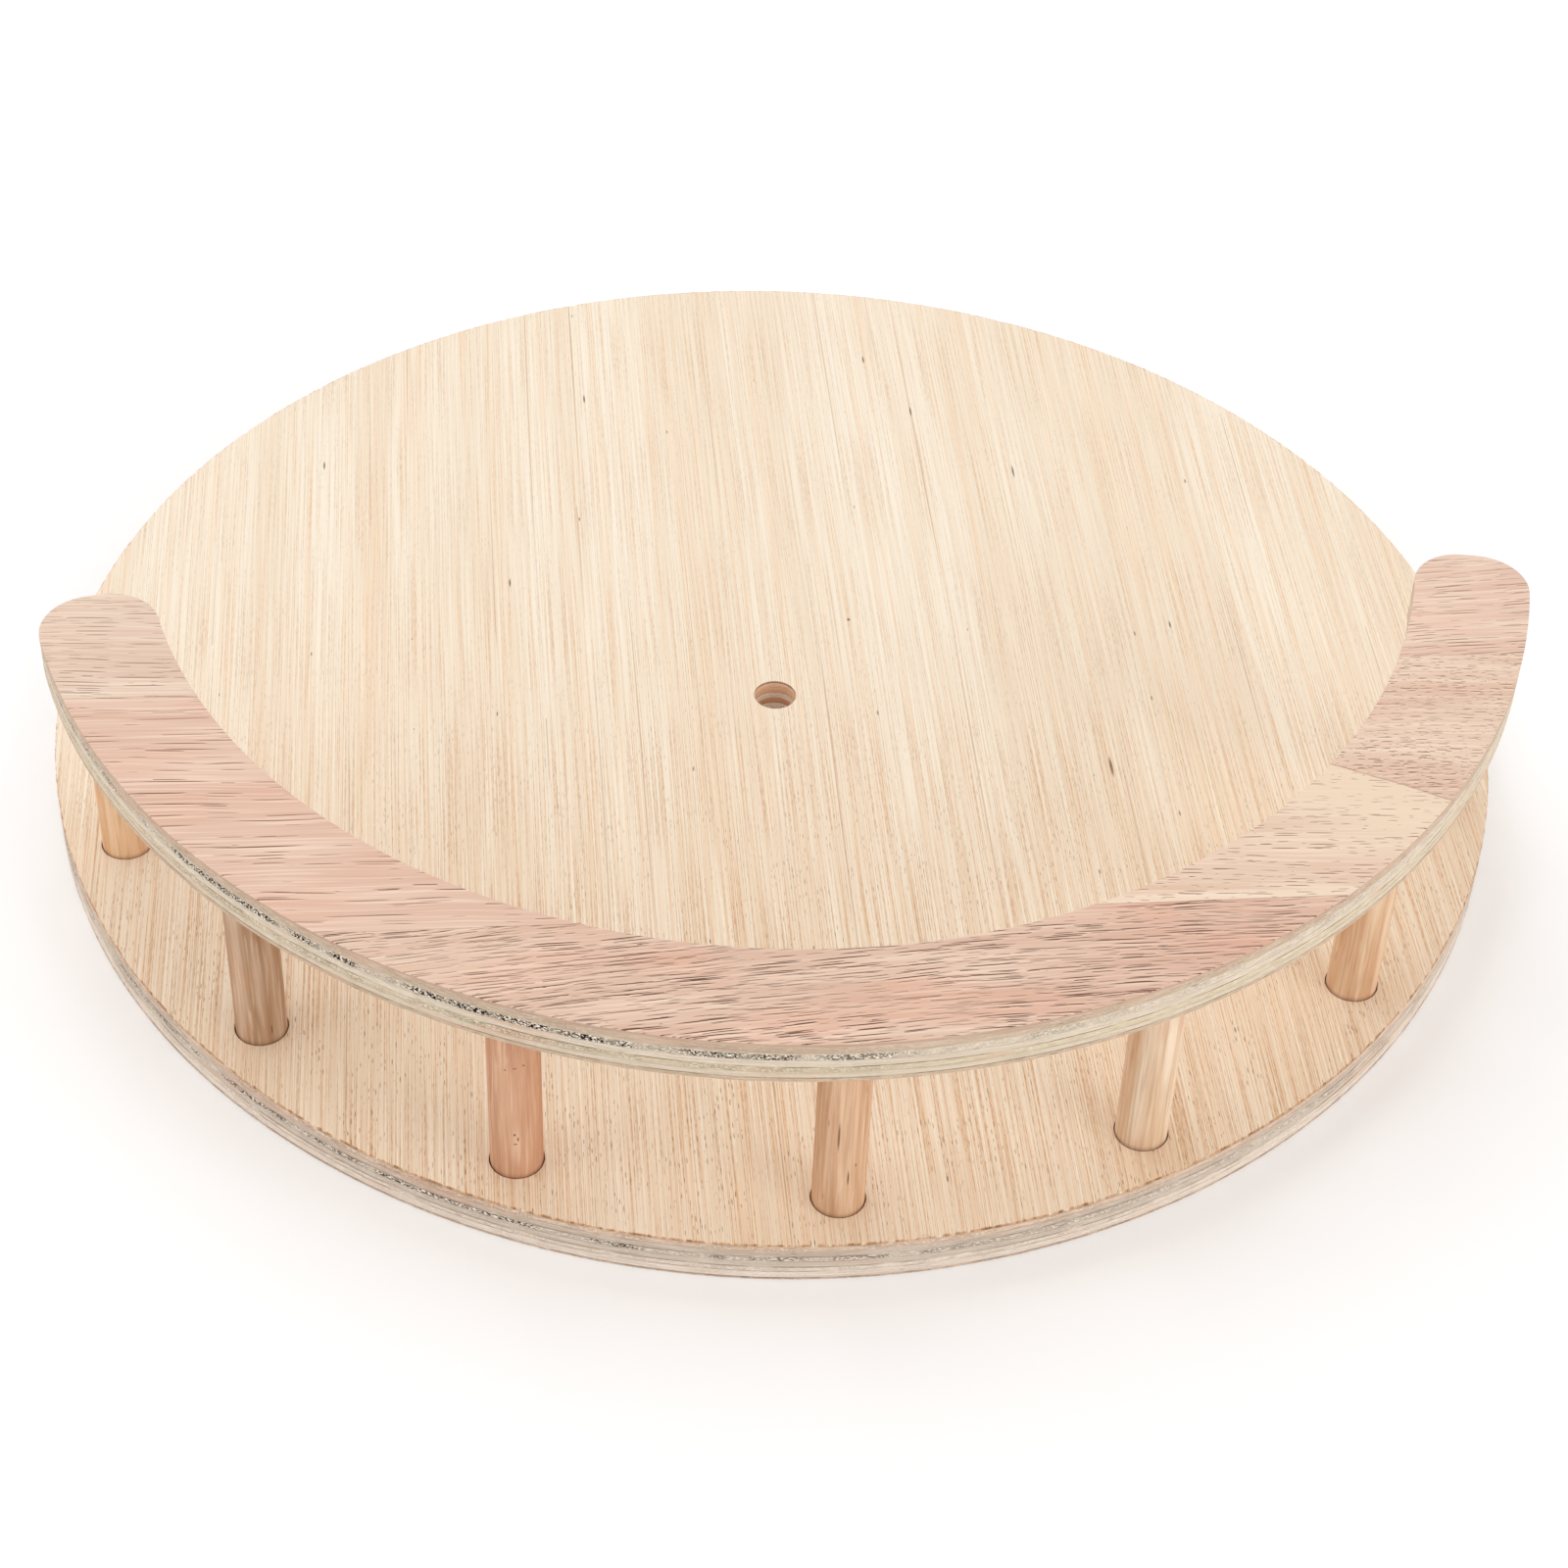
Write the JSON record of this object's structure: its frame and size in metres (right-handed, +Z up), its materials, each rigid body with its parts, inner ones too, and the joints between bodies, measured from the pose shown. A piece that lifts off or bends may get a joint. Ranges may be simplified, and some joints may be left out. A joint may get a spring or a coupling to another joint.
{
  "type": "round platform with guard rail",
  "caption": "Round plywood platform with a crescent guard rail held up on short dowels along its front, and a bolt hole through its centre.",
  "frame": {"origin": "centre of the round deck's underside, on the axis of its bolt hole", "axes": "+Z up through the deck, -Y towards the middle of the guard rail (the front), +X to the right seen from the front"},
  "size_m": [0.3, 0.3, 0.0615],
  "materials": {
    "deck_ply": "bare sawn edge of hardwood plywood",
    "deck_face": "smooth satin straight-grained engineered veneer",
    "rail_ply": "bare sanded edge of hardwood plywood",
    "rail_face": "smooth satin open-pored hardwood veneer",
    "dowel_wood": "bare sanded hardwood dowel"
  },
  "bodies": {
    "root": {"deck_board": "deck_ply", "deck_veneer": "deck_face", "dowel_1": "dowel_wood", "dowel_2": "dowel_wood", "dowel_3": "dowel_wood", "dowel_4": "dowel_wood", "dowel_5": "dowel_wood", "dowel_6": "dowel_wood", "dowel_7": "dowel_wood", "rail_board": "rail_ply", "rail_leaf_front": "rail_face", "rail_leaf_left": "rail_face", "rail_leaf_right": "rail_face", "rail_leaf_left_tip": "rail_face", "rail_leaf_right_tip": "rail_face"}
  },
  "joints": []
}
